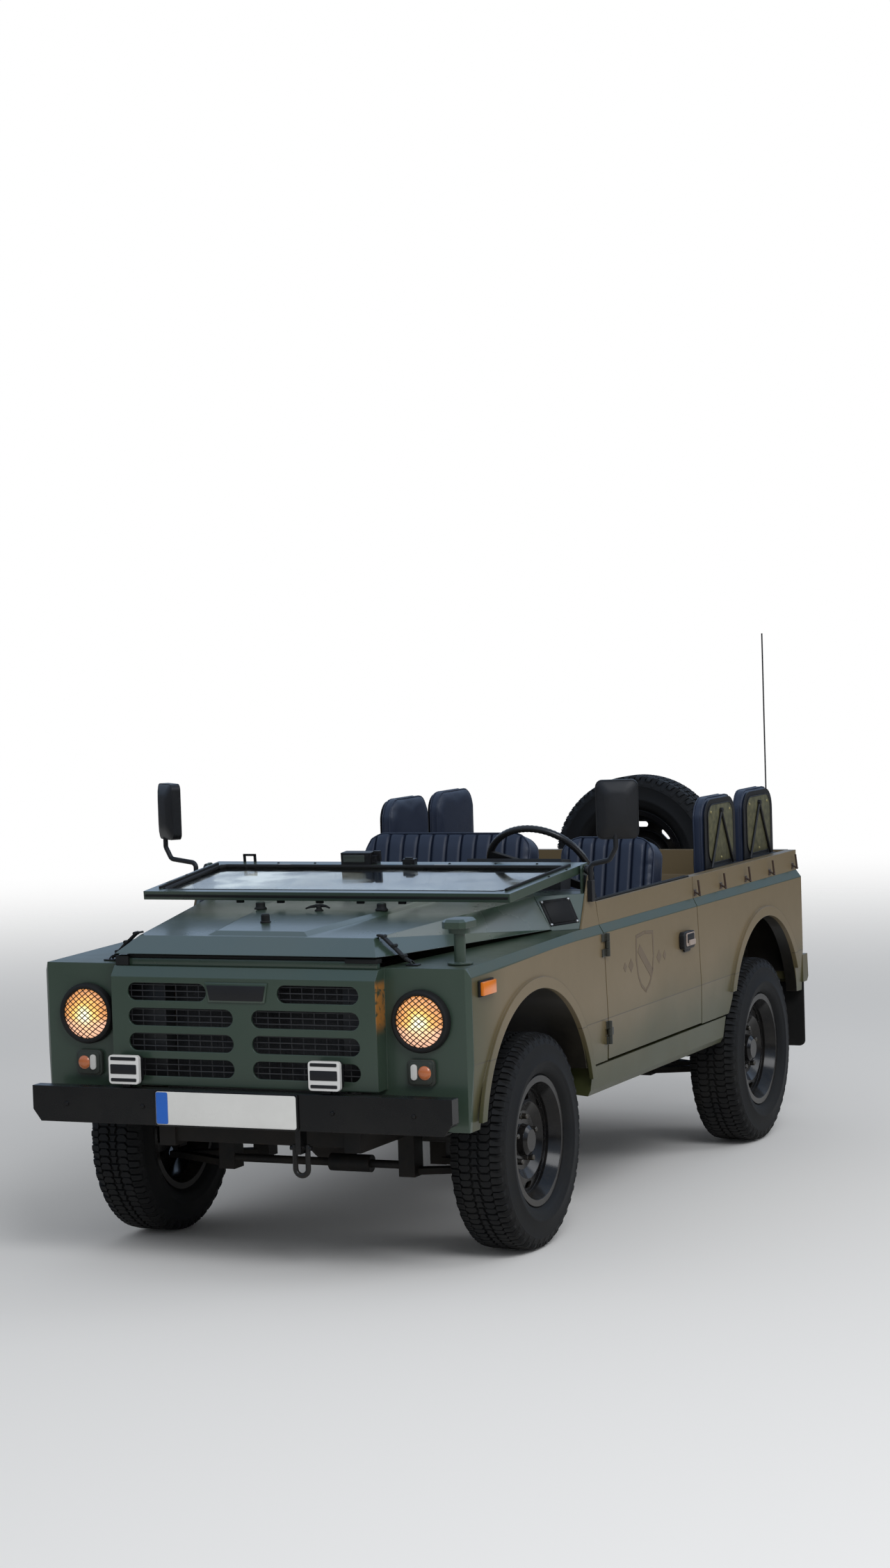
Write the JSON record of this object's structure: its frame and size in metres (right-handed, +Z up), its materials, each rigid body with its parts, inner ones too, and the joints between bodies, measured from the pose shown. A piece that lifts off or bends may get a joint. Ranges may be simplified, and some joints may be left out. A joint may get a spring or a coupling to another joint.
{
  "type": "open army four-wheel-drive car",
  "caption": "Open army four-wheel-drive car with folded windscreen, slotted grille, side jump seats and a spare wheel on the tailgate.",
  "frame": {"origin": "on the ground, under the middle of the car's bounding box", "axes": "+X to the car's left, -Y forward, +Z up"},
  "size_m": [1.916, 3.925, 2.035],
  "materials": {
    "sand_paint": "satin",
    "green_paint": "satin",
    "black_paint": "satin",
    "frame_black": "satin",
    "gloss_black": "gloss",
    "black_plastic": "matte",
    "white_cover": "gloss",
    "amber_lens": "gloss",
    "lamp_glass": "gloss",
    "clear_glass": "gloss",
    "engine_iron": "matte",
    "bare_steel": "satin",
    "black_rubber": "matte",
    "tyre_black": "matte",
    "navy_vinyl": "satin"
  },
  "bodies": {
    "root": {"floor_pan": "sand_paint", "seat_boxes": "sand_paint", "controls": "black_plastic", "chassis_rails": "frame_black", "nose_panel": "green_paint", "fender_left": "sand_paint", "fender_right": "sand_paint", "cowl": "green_paint", "dashboard": "black_plastic", "rear_side_left": "sand_paint", "rear_side_right": "sand_paint", "front_bumper": "black_paint", "headlamps": "lamp_glass", "fog_lamps": "white_cover", "signal_lamps": "amber_lens", "engine_block": "engine_iron", "radiator": "frame_black", "gearbox": "engine_iron", "differentials": "engine_iron", "shafts": "frame_black", "suspension_arms": "frame_black", "dampers": "frame_black", "driver_seat": "navy_vinyl", "passenger_bench": "navy_vinyl", "jump_seats": "navy_vinyl", "jump_seat_frames": "black_paint", "mirrors": "black_plastic", "antenna": "frame_black", "mudflaps": "black_rubber", "intake_post": "black_plastic", "exhaust": "bare_steel"},
    "knuckle_left": {"knuckle_left": "frame_black"},
    "knuckle_right": {"knuckle_right": "frame_black"},
    "wheel_front_left": {"tyre_front_left": "tyre_black", "rim_front_left": "gloss_black"},
    "wheel_front_right": {"tyre_front_right": "tyre_black", "rim_front_right": "gloss_black"},
    "wheel_rear_left": {"tyre_rear_left": "tyre_black", "rim_rear_left": "gloss_black"},
    "wheel_rear_right": {"tyre_rear_right": "tyre_black", "rim_rear_right": "gloss_black"},
    "steering_wheel": {"steering_wheel": "black_plastic"},
    "door_left": {"door_left": "sand_paint"},
    "door_right": {"door_right": "sand_paint"},
    "hood": {"hood": "green_paint"},
    "windscreen": {"windscreen_frame": "green_paint", "windscreen_glass": "clear_glass"},
    "tailgate": {"tailgate": "sand_paint", "spare_tyre": "tyre_black", "spare_rim": "gloss_black"}
  },
  "joints": [
    {"name": "steer_left", "type": "hinge", "parent": "root", "child": "knuckle_left", "pos_m": [0.64, -1.2325, 0.3], "axis": [-0.2171, 0, 0.9761], "range_deg": [-30, 30]},
    {"name": "steer_right", "type": "hinge", "parent": "root", "child": "knuckle_right", "pos_m": [-0.64, -1.2325, 0.3], "axis": [0.2171, 0, 0.9761], "range_deg": [-30, 30]},
    {"name": "steering_wheel_turn", "type": "hinge", "parent": "root", "child": "steering_wheel", "pos_m": [0.445, -0.3725, 1.215], "axis": [0, 0.8192, 0.5736], "range_deg": [-480, 480]},
    {"name": "wheel_spin_front_left", "type": "hinge", "parent": "knuckle_left", "child": "wheel_front_left", "pos_m": [0.6825, -1.2325, 0.368], "axis": [1, 0, 0], "continuous": true},
    {"name": "wheel_spin_front_right", "type": "hinge", "parent": "knuckle_right", "child": "wheel_front_right", "pos_m": [-0.6825, -1.2325, 0.368], "axis": [1, 0, 0], "continuous": true},
    {"name": "wheel_spin_rear_left", "type": "hinge", "parent": "root", "child": "wheel_rear_left", "pos_m": [0.702, 1.0675, 0.368], "axis": [1, 0, 0], "continuous": true},
    {"name": "wheel_spin_rear_right", "type": "hinge", "parent": "root", "child": "wheel_rear_right", "pos_m": [-0.702, 1.0675, 0.368], "axis": [1, 0, 0], "continuous": true},
    {"name": "door_left_hinge", "type": "hinge", "parent": "root", "child": "door_left", "pos_m": [0.799, -0.6265, 0.815], "axis": [0, 0, -1], "range_deg": [0, 70]},
    {"name": "door_right_hinge", "type": "hinge", "parent": "root", "child": "door_right", "pos_m": [-0.799, -0.6265, 0.815], "axis": [0, 0, 1], "range_deg": [0, 70]},
    {"name": "windscreen_fold", "type": "hinge", "parent": "root", "child": "windscreen", "pos_m": [0, -0.7025, 1.245], "axis": [-1, 0, 0], "range_deg": [0, 98]},
    {"name": "hood_hinge", "type": "hinge", "parent": "root", "child": "hood", "pos_m": [0, -0.8805, 1.178], "axis": [-1, 0, 0], "range_deg": [0, 54]},
    {"name": "tailgate_hinge", "type": "hinge", "parent": "root", "child": "tailgate", "pos_m": [0, 1.6475, 0.618], "axis": [-1, 0, 0], "range_deg": [0, 90]}
  ],
  "couplings": [
    {"joint": "steer_right", "follows": "steer_left", "ratio": 1},
    {"joint": "steering_wheel_turn", "follows": "steer_left", "ratio": 16},
    {"joint": "hood_hinge", "follows": "windscreen_fold", "ratio": 0.55}
  ]
}
